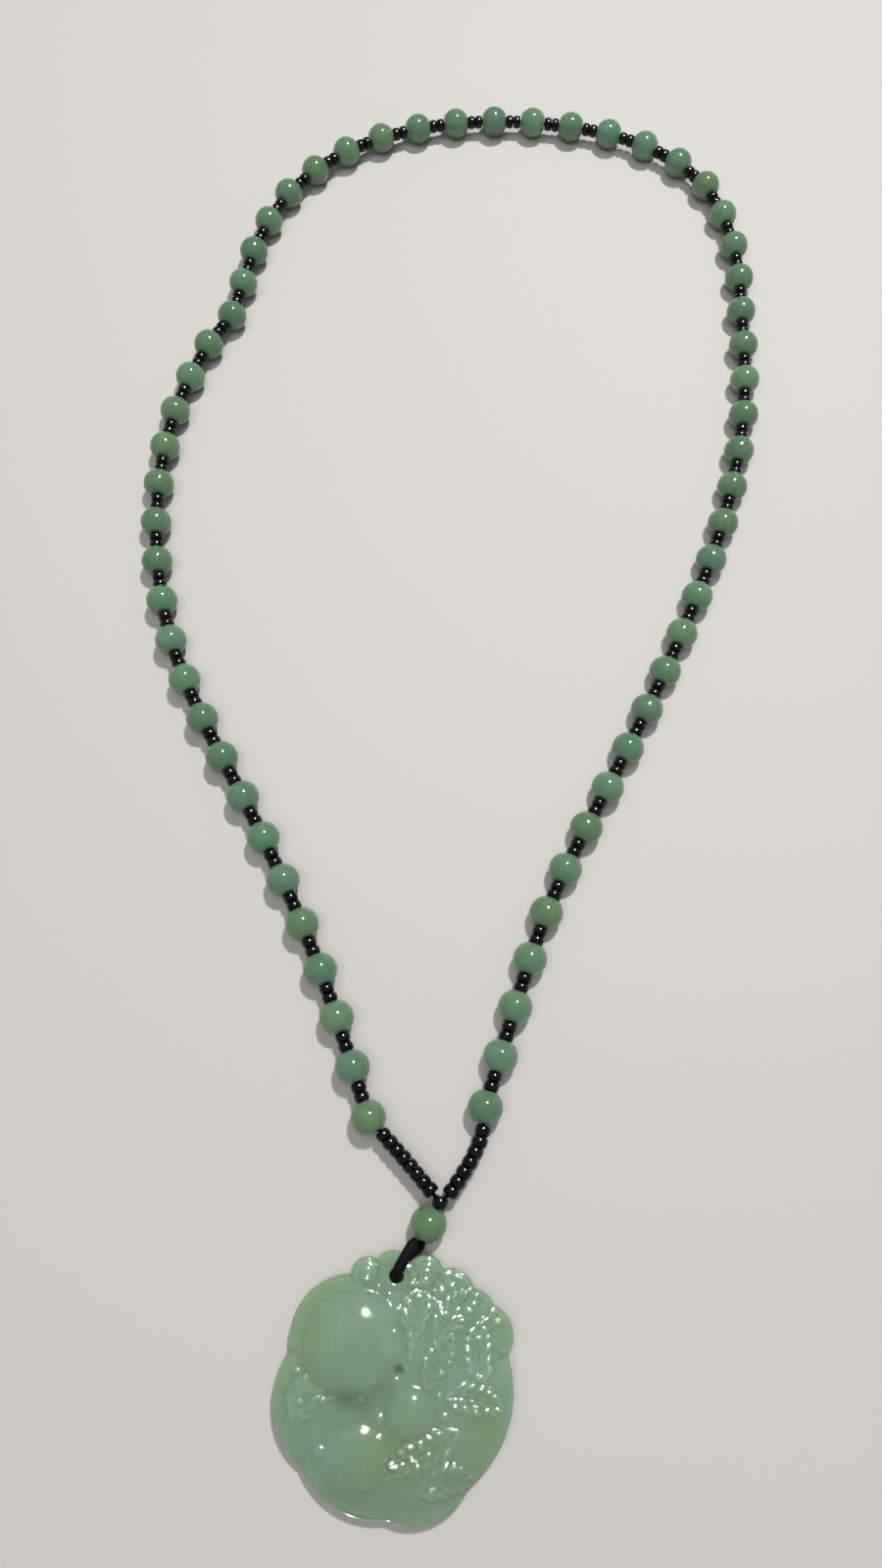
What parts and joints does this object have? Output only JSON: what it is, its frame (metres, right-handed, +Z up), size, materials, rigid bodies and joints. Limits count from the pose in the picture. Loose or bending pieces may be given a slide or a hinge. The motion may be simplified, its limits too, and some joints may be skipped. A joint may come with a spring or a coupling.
{
  "type": "jade pendant necklace",
  "caption": "Carved jade disc on a short black cord loop, hung from a long closed string of round jade beads and black glass seed beads, laid out flat.",
  "frame": {"origin": "middle of the pendant's flat back, on the surface that the whole piece lies on", "axes": "+Y from the pendant towards the far end of the bead loop, +X to the right of it seen from above, +Z up from the surface"},
  "size_m": [0.1671, 0.3739, 0.008],
  "materials": {
    "carved_jade": "polished pale green translucent jade, softly mottled",
    "jade_bead": "polished mid green translucent jade",
    "seed_glass": "opaque black pressed glass, fire-polished",
    "cord": "black wrapped cord, matte with a slight sheen"
  },
  "bodies": {
    "root": {"pendant": "carved_jade", "bail_cord": "cord", "bail_bead": "jade_bead", "left_seed_leg": "seed_glass", "right_seed_leg": "seed_glass", "bead_string_1": "jade_bead", "bead_string_2": "jade_bead", "bead_string_3": "jade_bead", "bead_string_4": "jade_bead", "bead_string_5": "jade_bead", "bead_string_6": "jade_bead", "bead_string_7": "jade_bead", "bead_string_8": "jade_bead", "bead_string_9": "jade_bead", "bead_string_10": "jade_bead"}
  },
  "joints": []
}
